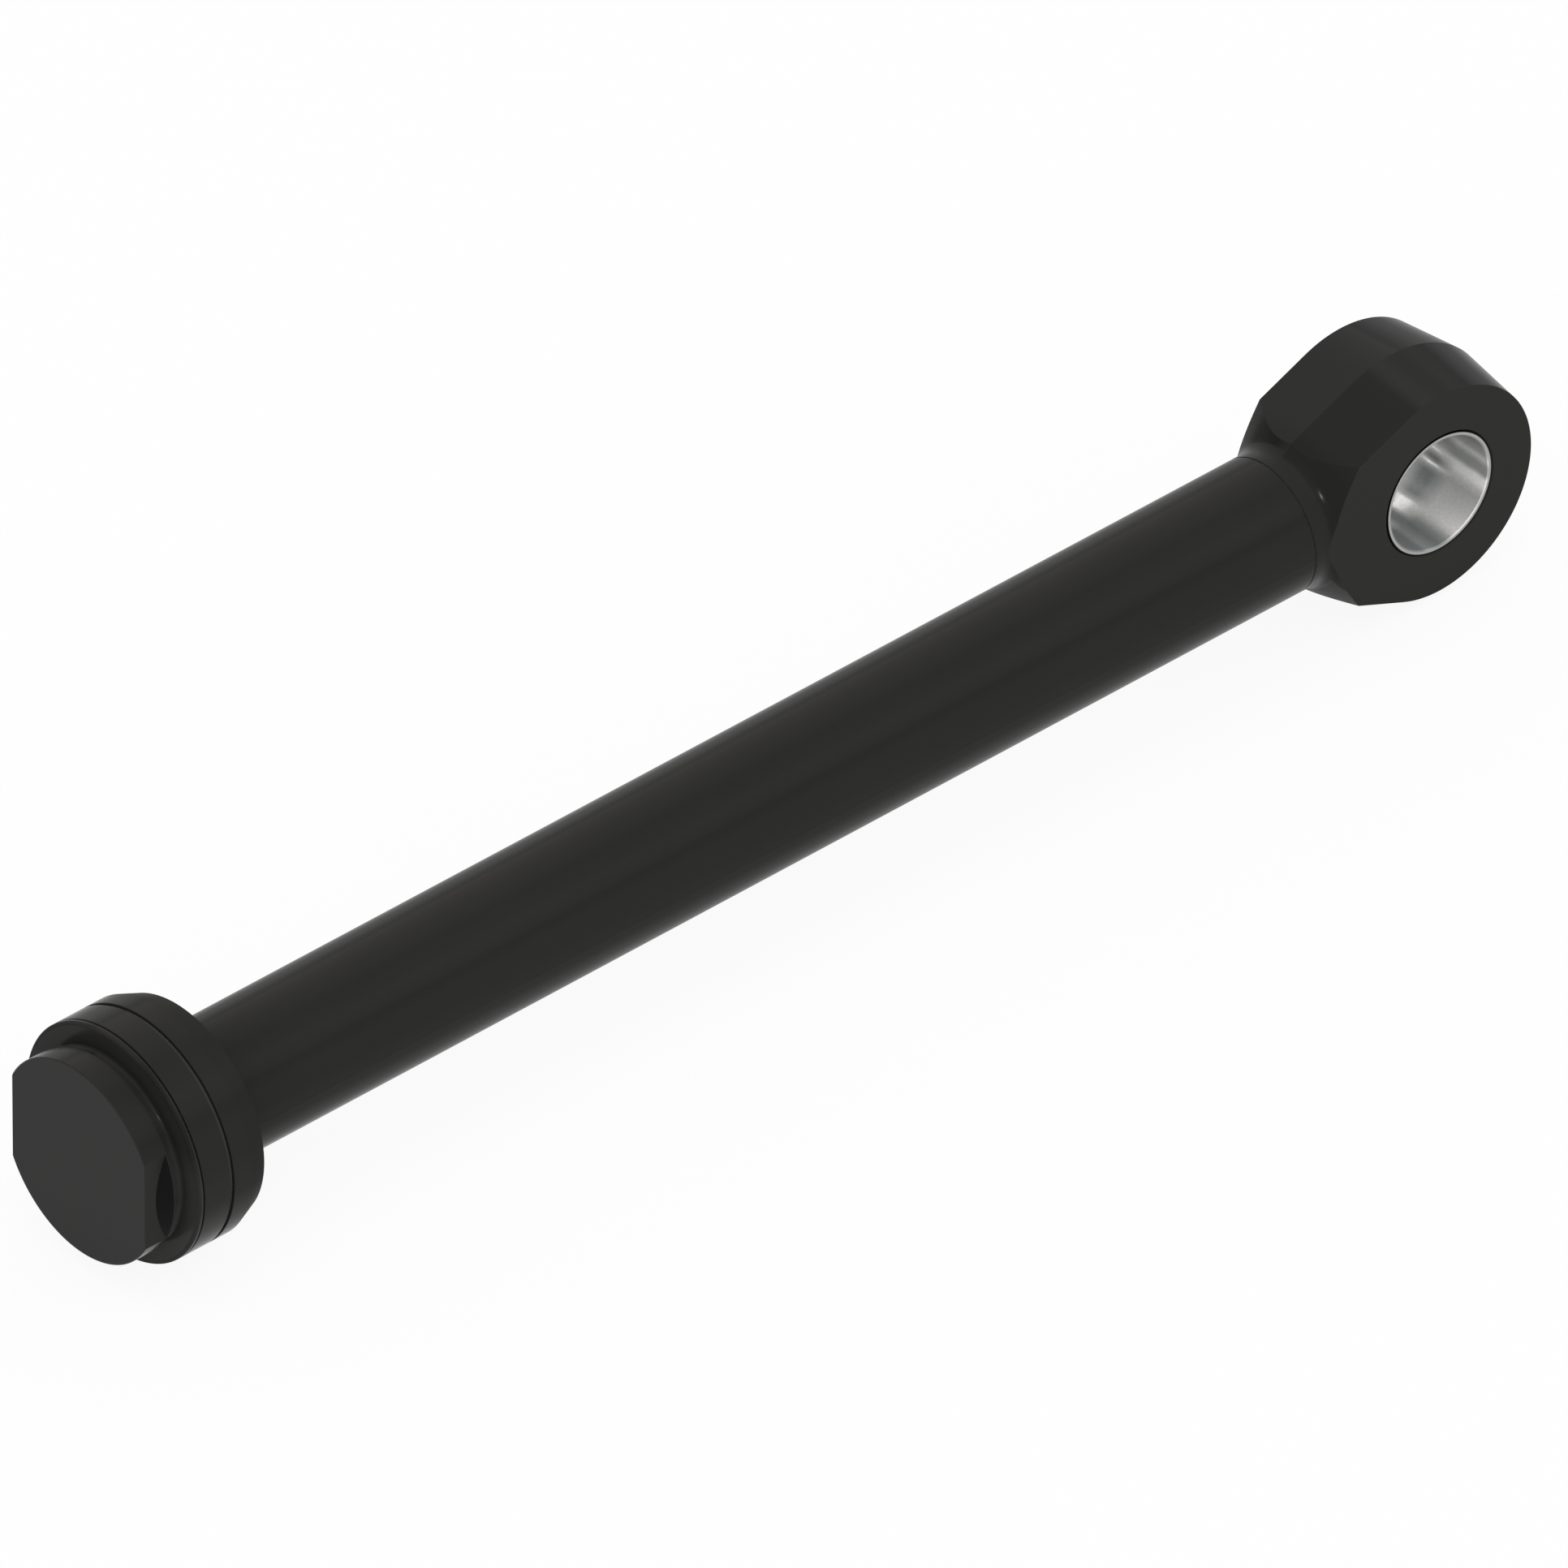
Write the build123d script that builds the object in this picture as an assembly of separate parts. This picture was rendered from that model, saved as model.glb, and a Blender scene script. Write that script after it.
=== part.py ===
from build123d import *
import math
import os

# A double-acting hydraulic cylinder, drawn fully retracted: a honed tube between a forged base
# eye and a bolted gland, with the piston, rod and seals inside and a flat-sided head on the rod.
# Frame: the origin is the centre of the base eye's pin bore, +X runs along the cylinder to the
# rod end, +Y along the pin, +Z is up. Lengths are millimetres and angles are degrees.

# ---- Driving dimensions ------------------------------------------------------------------

# Barrel tube and travel
bore_d = 63.0
tube_wall = 6.0
stroke = 575.0
end_clearance = 0.5

# Base eye and its bushing
pin_d = 65.0
bushing_wall = 2.5
bushing_length = 75.0
bushing_recess = 0.2
bushing_edge = 0.5
eye_wall = 31.0
eye_draft = 7.0
eye_mouth_chamfer = 1.2
flank_angle = 23.0
eye_to_tube = 83.0
shoulder_angle = 49.0
neck_straight = 11.2
neck_fillet = 11.8
spigot_length = 16.0
spigot_chamfer = 2.0

# Grease nipple, sunk in the end of the eye
grease_recess_d = 16.0
grease_recess_depth = 9.0
grease_thread_d = 8.0
grease_thread_depth = 9.0
grease_passage_d = 4.0
grease_hex_af = 9.0
grease_hex_height = 4.0
grease_head_d = 6.4
grease_head_height = 3.0
grease_head_chamfer = 1.0
grease_nipple_bore_d = 1.0

# Collar: wiper cap, gland flange and barrel flange
collar_d = 132.0
cap_nose_d = 104.4
cap_nose_length = 7.3
cap_flange_thickness = 3.7
cap_spigot_d = 80.0
cap_spigot_length = 8.0
cap_nose_fillet = 2.2
cap_rim_fillet = 1.5
cap_seam_chamfer = 0.5
gland_flange_thickness = 19.4
gland_seam_bevel_length = 2.0
gland_seam_bevel_depth = 1.0
barrel_flange_thickness = 23.6
barrel_flange_straight = 11.1
barrel_flange_rear_d = 122.2
seam_edge_chamfer = 0.3
seam_groove_width = 0.6
seam_groove_depth = 1.7

# Gland sleeve inside the tube
gland_sleeve_length = 51.1
gland_tip_length = 12.0
gland_tip_d = 55.0
gland_bore_clearance = 0.3

# Flange screws: socket heads sunk in the rear of the barrel flange
screw_d = 10.0
screw_length = 25.0
screw_head_d = 16.0
screw_head_height = 10.0
screw_socket_af = 8.0
screw_socket_depth = 5.0
screw_count = 8
screw_circle_d = 100.0
screw_hole_clearance = 0.5
screw_head_clearance = 0.5
screw_head_recess = 0.5
screw_runout = 2.5

# Rod
rod_d = 40.0
rod_piston_seat_d = 32.0
rod_nut_thread_d = 27.0
rod_nut_thread_recess = 1.0
rod_head_thread_d = 30.0
rod_head_thread_length = 10.0
rod_edge_chamfer = 1.5

# Rod head
head_d = 113.0
head_thickness = 14.6
head_across_flats = 100.0
head_flat_depth = 7.4
head_edge_chamfer = 0.6
head_gap = 0.4

# Piston, nut and stop tube
piston_length = 45.0
piston_clearance = 0.3
piston_edge_chamfer = 1.5
nut_height = 20.0
nut_af = 41.0
stop_tube_length = 35.0
stop_tube_d = 54.0

# Ports: weld-on bosses on the lower back side
port_angle = 225.0
port_thread_d = 15.2
port_thread_depth = 12.0
port_passage_d = 8.0
port_boss_d = 28.0
port_boss_height = 16.0
port_mouth_chamfer = 1.0

# Seals and guides: radial section, width, and the groove that each one sits in
guide_section = 2.5
guide_width = 9.7
guide_split = 2.0
rod_seal_section = 5.0
rod_seal_width = 8.0
rod_seal_lip_depth = 3.5
buffer_seal_section = 6.0
buffer_seal_width = 6.3
wiper_section = 5.0
wiper_depth = 8.0
wiper_lip = 2.5
wiper_heel_width = 2.0
piston_seal_groove_depth = 7.5
piston_seal_width = 6.3
piston_slipper_section = 2.8
gland_ring_groove_depth = 4.0
gland_ring_groove_width = 6.2
backup_width = 1.6
static_ring_section = 2.4
static_ring_groove_width = 3.2
ring_side_clearance = 0.05

# Places of the grooves, each measured from the piece's own end
gland_outer_groove_from_tip = 15.0
gland_guide_rear_from_tip = 11.0
gland_buffer_from_tip = 24.5
gland_rod_seal_from_tip = 34.0
gland_guide_front_from_tip = 46.0
piston_guide_from_end = 3.0
piston_static_groove_from_rear = 20.0

# Fits: radial clearances
weld_fit = 0.03
press_fit = 0.02
thread_fit = 0.03
running_fit = 0.05
small_chamfer = 0.5

# How far a cutter runs past the face it cuts
overrun = 1.0

# ---- Stations along X and radii that follow from them --------------------------------------

tube_r = bore_d / 2 + tube_wall
bore_r = bore_d / 2
pin_r = pin_d / 2
bushing_r = pin_r + bushing_wall
crown_r = bushing_r + press_fit + eye_wall
eye_width = bushing_length + 2 * bushing_recess
collar_r = collar_d / 2
rod_r = rod_d / 2
seat_r = rod_piston_seat_d / 2
seal_r = rod_r + running_fit
slide_r = bore_r - running_fit

neck_x = eye_to_tube - neck_straight
spigot_end_x = eye_to_tube + spigot_length
nut_x = spigot_end_x + end_clearance
piston_x = nut_x + nut_height
stop_tube_x = piston_x + piston_length
rod_shoulder_x = stop_tube_x + stop_tube_length
gland_tip_x = rod_shoulder_x + stroke + end_clearance
gland_flange_x = gland_tip_x + gland_sleeve_length
cap_flange_x = gland_flange_x + gland_flange_thickness
cap_nose_x = cap_flange_x + cap_flange_thickness
cap_front_x = cap_nose_x + cap_nose_length
head_x = cap_front_x + head_gap
head_face_x = head_x + head_thickness
barrel_flange_x = gland_flange_x - barrel_flange_thickness
wiper_x = cap_front_x - wiper_depth
base_port_x = nut_x + nut_height / 2
rod_port_x = gland_tip_x + gland_tip_length / 2

# ---- Helpers -------------------------------------------------------------------------------


def turned(*points):
    """A solid of revolution about the X axis, from (x, radius) points."""
    return revolve(make_face(Polyline(*points, close=True)), Axis.X, 360)


def ring(x0, x1, r_in, r_out):
    """A plain ring about the X axis."""
    return turned((x0, r_in), (x1, r_in), (x1, r_out), (x0, r_out))


def disc(x0, x1, r):
    """A plain cylinder about the X axis."""
    return turned((x0, 0), (x1, 0), (x1, r), (x0, r))


def o_ring(x, r_in, r_out):
    """A round-section ring about the X axis that just fills the gap from r_in to r_out."""
    return Pos(x, 0, 0) * Rot(0, 90, 0) * Torus((r_in + r_out) / 2, (r_out - r_in) / 2)


def rims(shape, x, r):
    """The circular edges of a shape at station x with radius r."""
    circles = shape.edges().filter_by(GeomType.CIRCLE)
    return [e for e in circles if abs(e.arc_center.X - x) < 0.01 and abs(e.radius - r) < 0.01]


def radial(x, angle):
    """A placement at station x whose local Z points away from the X axis, at that angle from +Y."""
    return Pos(x, 0, 0) * Rot(angle, 0, 0) * Rot(-90, 0, 0)


def along(x, r, angle):
    """A placement at radius r from the X axis whose local Z runs along +X from station x."""
    return Pos(x, 0, 0) * Rot(angle, 0, 0) * Pos(0, r, 0) * Rot(0, 90, 0)


def rod_between(start, end, r):
    """A cylinder on the local Z axis from start to end."""
    return Pos(0, 0, (start + end) / 2) * Cylinder(r, end - start)


def split_ring(x0, x1, r_in, r_out):
    """A bearing strip bent to a ring, with its gap cut at 30 degrees."""
    gap = Box(2 * (x1 - x0), r_out, guide_split)
    middle = (x0 + x1) / 2
    return ring(x0, x1, r_in, r_out) - Pos(middle, r_out, 0) * Rot(0, 30, 0) * gap


def screw_places(x):
    """One placement per flange screw, spaced evenly and clear of the port's line."""
    pitch = 360 / screw_count
    return [along(x, screw_circle_d / 2, port_angle + pitch * (i + 0.5)) for i in range(screw_count)]


# ---- Barrel --------------------------------------------------------------------------------


def barrel_tube():
    tube = ring(eye_to_tube, gland_flange_x, bore_r, tube_r)
    tube = chamfer(rims(tube, gland_flange_x, bore_r), small_chamfer)
    tube = chamfer(rims(tube, eye_to_tube, tube_r), small_chamfer)
    for x in (base_port_x, rod_port_x):
        tube -= radial(x, port_angle) * rod_between(0, 2 * tube_r, port_passage_d / 2)
    return tube


def eye_block():
    """The forged eye: a round boss with flanks that close in on the tube, drafted both ways from
    its middle plane."""
    tangent = math.radians(90 - flank_angle)
    end_x = eye_to_tube - 2 * small_chamfer
    top = (crown_r * math.cos(tangent), crown_r * math.sin(tangent))
    end_z = top[1] - math.tan(math.radians(flank_angle)) * (end_x - top[0])
    outline = [
        Line(top, (end_x, end_z)),
        Line((end_x, end_z), (end_x, -end_z)),
        Line((end_x, -end_z), (top[0], -top[1])),
        ThreePointArc((top[0], -top[1]), (-crown_r, 0), top),
    ]
    profile = Plane.XZ * make_face(outline)
    return extrude(profile, amount=eye_width / 2, both=True, taper=eye_draft)


def neck_envelope():
    """The turned shoulder and neck that trim the forging down to the tube's diameter."""
    outer_r = crown_r + eye_width / 2
    shoulder_x = neck_x - (outer_r - tube_r) / math.tan(math.radians(shoulder_angle))
    face = make_face(
        Polyline(
            (-outer_r, 0),
            (-outer_r, outer_r),
            (shoulder_x, outer_r),
            (neck_x, tube_r),
            (eye_to_tube, tube_r),
            (eye_to_tube, 0),
            close=True,
        )
    )
    corner = face.vertices().sort_by_distance((neck_x, tube_r, 0))[0]
    return revolve(fillet(corner, neck_fillet), Axis.X, 360)


def grease_hole():
    """Recess, thread and passage from the end of the eye through to the pin bore."""
    floor_x = grease_recess_depth - crown_r
    thread_x = floor_x + grease_thread_depth
    hole = disc(-2 * crown_r, floor_x, grease_recess_d / 2)
    hole += disc(floor_x - small_chamfer, thread_x, grease_thread_d / 2 + thread_fit)
    hole += disc(thread_x - small_chamfer, 0, grease_passage_d / 2)
    return hole


def base_eye():
    eye = eye_block() & neck_envelope()
    eye += disc(neck_x, eye_to_tube, tube_r)
    eye = chamfer(rims(eye, eye_to_tube, tube_r), small_chamfer)
    spigot = disc(eye_to_tube - small_chamfer, spigot_end_x, bore_r - weld_fit)
    eye += chamfer(rims(spigot, spigot_end_x, bore_r - weld_fit), spigot_chamfer)
    eye -= Rot(90, 0, 0) * Cylinder(bushing_r + press_fit, 2 * eye_width)
    mouth_r = bushing_r + press_fit
    for side in (1, -1):
        cone = Cone(mouth_r, mouth_r + eye_mouth_chamfer, eye_mouth_chamfer)
        place = side * (eye_width - eye_mouth_chamfer) / 2
        eye -= Pos(0, place, 0) * Rot(-90 * side, 0, 0) * cone
    return eye - grease_hole()


def eye_bushing():
    bushing = Rot(90, 0, 0) * (
        Cylinder(bushing_r, bushing_length) - Cylinder(pin_r, 2 * bushing_length)
    )
    inner = bushing.edges().filter_by(GeomType.CIRCLE).filter_by(lambda e: abs(e.radius - pin_r) < 0.01)
    bushing = chamfer(inner, bushing_edge)
    return bushing - disc(-2 * bushing_r, 0, grease_passage_d / 2)


def grease_nipple():
    floor_x = grease_recess_depth - crown_r
    thread_x = floor_x + grease_thread_depth - small_chamfer
    hex_x = floor_x - grease_hex_height
    tip_x = hex_x - grease_head_height
    across = RegularPolygon(grease_hex_af / 2, 6, major_radius=False)
    nipple = Pos(floor_x, 0, 0) * Rot(0, -90, 0) * extrude(across, amount=grease_hex_height)
    nipple += disc(floor_x - small_chamfer, thread_x, grease_thread_d / 2)
    head_r = grease_head_d / 2
    nipple += turned(
        (hex_x + small_chamfer, 0),
        (hex_x + small_chamfer, head_r - grease_head_chamfer),
        (hex_x - grease_head_chamfer, head_r - grease_head_chamfer),
        (tip_x + grease_head_chamfer, head_r),
        (tip_x, head_r - grease_head_chamfer),
        (tip_x, 0),
    )
    return nipple - disc(tip_x - overrun, thread_x + overrun, grease_nipple_bore_d / 2)


def port_boss(x):
    """A weld-on boss, saddled to the tube, with a threaded mouth and a passage to the bore."""
    top = tube_r + port_boss_height
    mouth_r = port_thread_d / 2
    boss = rod_between(bore_r, top, port_boss_d / 2)
    boss = chamfer(boss.edges().sort_by(Axis.Z)[-1], small_chamfer)
    boss -= rod_between(top - port_thread_depth, 2 * top, mouth_r)
    boss -= Pos(0, 0, top - port_mouth_chamfer / 2) * Cone(
        mouth_r, mouth_r + port_mouth_chamfer, port_mouth_chamfer
    )
    boss -= rod_between(0, 2 * top, port_passage_d / 2)
    saddle = disc(x - port_boss_d, x + port_boss_d, tube_r + weld_fit)
    return radial(x, port_angle) * boss - saddle


def base_port_boss():
    return port_boss(base_port_x)


def rod_port_boss():
    return port_boss(rod_port_x)


def barrel_flange():
    inner_r = tube_r + weld_fit
    cone_x = gland_flange_x - barrel_flange_straight
    flange = turned(
        (barrel_flange_x, inner_r),
        (gland_flange_x, inner_r),
        (gland_flange_x, collar_r),
        (cone_x, collar_r),
        (barrel_flange_x, barrel_flange_rear_d / 2),
    )
    flange = chamfer(rims(flange, gland_flange_x, collar_r), seam_edge_chamfer)
    sink = screw_head_height + screw_head_recess
    for place in screw_places(barrel_flange_x):
        hole_r = screw_d / 2 + screw_hole_clearance
        flange -= place * rod_between(-overrun, 2 * barrel_flange_thickness, hole_r)
        flange -= place * rod_between(-overrun, sink, screw_head_d / 2 + screw_head_clearance)
    return flange


# ---- Gland ---------------------------------------------------------------------------------


def gland():
    sleeve_r = slide_r
    inner_r = rod_r + gland_bore_clearance
    bevel_x = gland_flange_x + seam_groove_width
    body = turned(
        (gland_tip_x, inner_r),
        (cap_flange_x, inner_r),
        (cap_flange_x, collar_r),
        (bevel_x + gland_seam_bevel_length, collar_r),
        (bevel_x, collar_r - gland_seam_bevel_depth),
        (bevel_x, collar_r - seam_groove_depth),
        (gland_flange_x, collar_r - seam_groove_depth),
        (gland_flange_x, sleeve_r),
        (gland_tip_x + gland_tip_length, sleeve_r),
        (gland_tip_x + gland_tip_length, gland_tip_d / 2),
        (gland_tip_x, gland_tip_d / 2),
    )
    body = chamfer(rims(body, cap_flange_x, collar_r), seam_edge_chamfer)
    body = chamfer(rims(body, gland_tip_x + gland_tip_length, sleeve_r), small_chamfer)
    socket_r = cap_spigot_d / 2 + thread_fit
    body -= disc(cap_flange_x - cap_spigot_length, cap_flange_x + overrun, socket_r)
    for start, width, section in (
        (gland_guide_rear_from_tip, guide_width, guide_section),
        (gland_buffer_from_tip, buffer_seal_width, buffer_seal_section),
        (gland_rod_seal_from_tip, rod_seal_width, rod_seal_section),
        (gland_guide_front_from_tip, guide_width, guide_section),
    ):
        x = gland_tip_x + start
        body -= ring(x, x + width, rod_r, rod_r + section)
    x = gland_tip_x + gland_outer_groove_from_tip
    groove_floor_r = sleeve_r - gland_ring_groove_depth
    body -= ring(x, x + gland_ring_groove_width, groove_floor_r, tube_r)
    depth = screw_length - (barrel_flange_thickness - screw_head_height - screw_head_recess)
    for place in screw_places(gland_flange_x):
        body -= place * rod_between(-overrun, depth + screw_runout, screw_d / 2 + thread_fit)
    return body


def gland_cap():
    inner_r = rod_r + gland_bore_clearance
    nose_r = cap_nose_d / 2
    band_x = cap_flange_x + seam_groove_width
    cap = turned(
        (cap_flange_x - cap_spigot_length, inner_r),
        (cap_front_x, inner_r),
        (cap_front_x, nose_r),
        (cap_nose_x, nose_r),
        (cap_nose_x, collar_r),
        (band_x, collar_r),
        (band_x, collar_r - seam_groove_depth),
        (cap_flange_x, collar_r - seam_groove_depth),
        (cap_flange_x, cap_spigot_d / 2),
        (cap_flange_x - cap_spigot_length, cap_spigot_d / 2),
    )
    cap = fillet(rims(cap, cap_nose_x, nose_r), cap_nose_fillet)
    cap = fillet(rims(cap, cap_nose_x, collar_r), cap_rim_fillet)
    cap = chamfer(rims(cap, band_x, collar_r), cap_seam_chamfer)
    cap = chamfer(rims(cap, cap_front_x, nose_r), small_chamfer)
    cap = chamfer(rims(cap, cap_flange_x - cap_spigot_length, cap_spigot_d / 2), small_chamfer)
    return cap - ring(wiper_x, cap_front_x + overrun, rod_r, rod_r + wiper_section + press_fit)


def flange_screws():
    """Socket-head screws, entered from the rear of the barrel flange into the gland."""
    head = rod_between(-screw_head_height, 0, screw_head_d / 2)
    head = chamfer(head.edges().sort_by(Axis.Z)[0], small_chamfer)
    shank = rod_between(-small_chamfer, screw_length, screw_d / 2)
    shank = chamfer(shank.edges().sort_by(Axis.Z)[-1], 2 * small_chamfer)
    socket = extrude(RegularPolygon(screw_socket_af / 2, 6, major_radius=False), amount=screw_socket_depth)
    screw = head + shank - Pos(0, 0, -screw_head_height) * socket
    seat_x = barrel_flange_x + screw_head_height + screw_head_recess
    return Compound(children=[place * screw for place in screw_places(seat_x)])


def rod_wiper():
    """A pressed-in wiper: a rigid heel against the cap and a lip that leans out on the rod."""
    outer_r = rod_r + wiper_section
    tip_x = cap_front_x - small_chamfer
    return turned(
        (wiper_x, outer_r - wiper_heel_width),
        (wiper_x, outer_r),
        (tip_x - small_chamfer, outer_r),
        (tip_x - wiper_lip, seal_r + wiper_lip),
        (tip_x, seal_r + small_chamfer),
        (tip_x, seal_r),
        (wiper_x, seal_r + small_chamfer),
    )


def rod_seal():
    """A U-cup whose lips face the oil."""
    x = gland_tip_x + gland_rod_seal_from_tip + ring_side_clearance
    heel_x = x + rod_seal_width - 2 * ring_side_clearance
    outer_r = rod_r + rod_seal_section - press_fit
    middle_r = (seal_r + outer_r) / 2
    lip = rod_seal_section / 4
    return turned(
        (heel_x, seal_r + small_chamfer),
        (heel_x, outer_r - small_chamfer),
        (x, outer_r),
        (x, outer_r - lip),
        (x + rod_seal_lip_depth, middle_r),
        (x, seal_r + lip),
        (x, seal_r),
    )


def buffer_seal():
    """A square-edged ring ahead of the rod seal, which takes the pressure peaks."""
    x = gland_tip_x + gland_buffer_from_tip + ring_side_clearance
    end_x = x + buffer_seal_width - 2 * ring_side_clearance
    outer_r = rod_r + buffer_seal_section - press_fit
    return turned(
        (x, seal_r + small_chamfer),
        (x, outer_r - small_chamfer),
        (x + small_chamfer, outer_r),
        (end_x, outer_r),
        (end_x, seal_r),
        (x + small_chamfer, seal_r),
    )


def rod_guide(from_tip):
    """A bearing strip in the gland that carries the rod."""
    x = gland_tip_x + from_tip
    outer_r = rod_r + guide_section - press_fit
    return split_ring(x + ring_side_clearance, x + guide_width - ring_side_clearance, seal_r, outer_r)


def rod_guide_rear():
    return rod_guide(gland_guide_rear_from_tip)


def rod_guide_front():
    return rod_guide(gland_guide_front_from_tip)


def gland_backup_ring():
    """A hard ring on the dry side of the gland's O-ring."""
    x = gland_tip_x + gland_outer_groove_from_tip + gland_ring_groove_width - ring_side_clearance
    return ring(x - backup_width, x, slide_r - gland_ring_groove_depth + press_fit, slide_r)


def gland_o_ring():
    """The static seal between the gland sleeve and the tube."""
    inner_r = slide_r - gland_ring_groove_depth + press_fit
    x = gland_tip_x + gland_outer_groove_from_tip + (gland_ring_groove_width - backup_width) / 2
    return o_ring(x, inner_r, slide_r)


# ---- Rod and piston ------------------------------------------------------------------------


def piston_rod():
    thread_x = nut_x + rod_nut_thread_recess
    head_thread_x = head_x + rod_head_thread_length
    rod = turned(
        (thread_x, 0),
        (thread_x, rod_nut_thread_d / 2),
        (piston_x, rod_nut_thread_d / 2),
        (piston_x, seat_r),
        (rod_shoulder_x, seat_r),
        (rod_shoulder_x, rod_r),
        (head_x, rod_r),
        (head_x, rod_head_thread_d / 2),
        (head_thread_x, rod_head_thread_d / 2),
        (head_thread_x, 0),
    )
    rod = chamfer(rims(rod, thread_x, rod_nut_thread_d / 2), rod_edge_chamfer)
    rod = chamfer(rims(rod, head_thread_x, rod_head_thread_d / 2), rod_edge_chamfer)
    return chamfer(rims(rod, rod_shoulder_x, rod_r), rod_edge_chamfer)


def rod_head():
    """A round head with two flats. The flats run out in a 45-degree cone behind them, so the
    head's rear edge stays a full circle."""
    head_r = head_d / 2
    flat = head_across_flats / 2
    head = disc(head_x, head_face_x, head_r)
    head = chamfer(rims(head, head_face_x, head_r), head_edge_chamfer)
    cone_x = head_face_x - head_flat_depth
    cone = turned(
        (head_x - head_d, 0),
        (head_face_x + overrun, 0),
        (head_face_x + overrun, flat / 2),
        (cone_x + flat / 2, flat / 2),
        (cone_x - head_d, flat + head_d),
        (head_x - head_d, flat + head_d),
    )
    for side in (1, -1):
        slab = Box(2 * head_thickness, head_r, head_d)
        head -= Pos(head_face_x, side * (flat + head_r / 2), 0) * slab - cone
    blind = rod_head_thread_length + small_chamfer
    return head - disc(head_x - overrun, head_x + blind, rod_head_thread_d / 2 + thread_fit)


def piston():
    outer_r = bore_r - piston_clearance
    end_x = piston_x + piston_length
    body = ring(piston_x, end_x, seat_r + press_fit, outer_r)
    for x in (piston_x, end_x):
        body = chamfer(rims(body, x, outer_r), piston_edge_chamfer)
    guide_floor_r = bore_r - guide_section - running_fit
    for x in (piston_x + piston_guide_from_end, end_x - piston_guide_from_end - guide_width):
        body -= ring(x, x + guide_width, guide_floor_r, tube_r)
    x = piston_x + (piston_length - piston_seal_width) / 2
    body -= ring(x, x + piston_seal_width, bore_r - piston_seal_groove_depth, tube_r)
    x = piston_x + piston_static_groove_from_rear
    return body - ring(x, x + static_ring_groove_width, 0, seat_r + static_ring_section)


def piston_static_o_ring():
    """The seal between the piston and the rod's seat."""
    x = piston_x + piston_static_groove_from_rear + static_ring_groove_width / 2
    return o_ring(x, seat_r + press_fit, seat_r + static_ring_section - press_fit)


def piston_nut():
    """A hexagon lock nut that clamps the piston and the stop tube against the rod's shoulder."""
    across = RegularPolygon(nut_af / 2, 6, major_radius=False)
    nut = Pos(nut_x, 0, 0) * Rot(0, 90, 0) * extrude(across, amount=nut_height)
    corner_r = nut_af / math.sqrt(3)
    rounding = disc(nut_x, piston_x, corner_r)
    rounding = chamfer(rims(rounding, nut_x, corner_r), 2 * small_chamfer)
    rounding = chamfer(rims(rounding, piston_x, corner_r), 2 * small_chamfer)
    bore = disc(nut_x - overrun, piston_x + overrun, rod_nut_thread_d / 2 + thread_fit)
    return (nut & rounding) - bore


def stop_tube():
    """A distance sleeve that keeps the piston well inside the tube at full stroke."""
    sleeve = ring(stop_tube_x, rod_shoulder_x, seat_r + press_fit, stop_tube_d / 2)
    for x in (stop_tube_x, rod_shoulder_x):
        sleeve = chamfer(rims(sleeve, x, stop_tube_d / 2), 2 * small_chamfer)
    return sleeve


# ---- Rings that slide with the piston ------------------------------------------------------


def piston_guide(x):
    """A bearing strip in one of the piston's outer grooves."""
    inner_r = bore_r - guide_section
    start = x + ring_side_clearance
    return split_ring(start, x + guide_width - ring_side_clearance, inner_r, slide_r)


def piston_guide_rear():
    return piston_guide(piston_x + piston_guide_from_end)


def piston_guide_front():
    return piston_guide(piston_x + piston_length - piston_guide_from_end - guide_width)


def piston_seal():
    """The slipper ring that seals on the tube, pushed out by the energizer under it."""
    x = piston_x + (piston_length - piston_seal_width) / 2
    inner_r = slide_r - piston_slipper_section
    return ring(x + ring_side_clearance, x + piston_seal_width - ring_side_clearance, inner_r, slide_r)


def piston_energizer():
    x = piston_x + piston_length / 2
    outer_r = slide_r - piston_slipper_section - press_fit
    return o_ring(x, bore_r - piston_seal_groove_depth + running_fit, outer_r)


# ---- Export --------------------------------------------------------------------------------

PIECES = (
    barrel_tube,
    base_eye,
    eye_bushing,
    grease_nipple,
    base_port_boss,
    rod_port_boss,
    barrel_flange,
    flange_screws,
    gland,
    gland_cap,
    rod_wiper,
    rod_seal,
    buffer_seal,
    rod_guide_rear,
    rod_guide_front,
    gland_backup_ring,
    gland_o_ring,
    piston_rod,
    rod_head,
    piston,
    piston_static_o_ring,
    piston_nut,
    stop_tube,
    piston_guide_rear,
    piston_guide_front,
    piston_seal,
    piston_energizer,
)

os.makedirs("parts", exist_ok=True)
for piece in PIECES:
    export_step(piece(), f"parts/{piece.__name__}.step")
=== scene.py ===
import math

import bmesh
import bpy
from mathutils import Matrix, Vector


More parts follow.
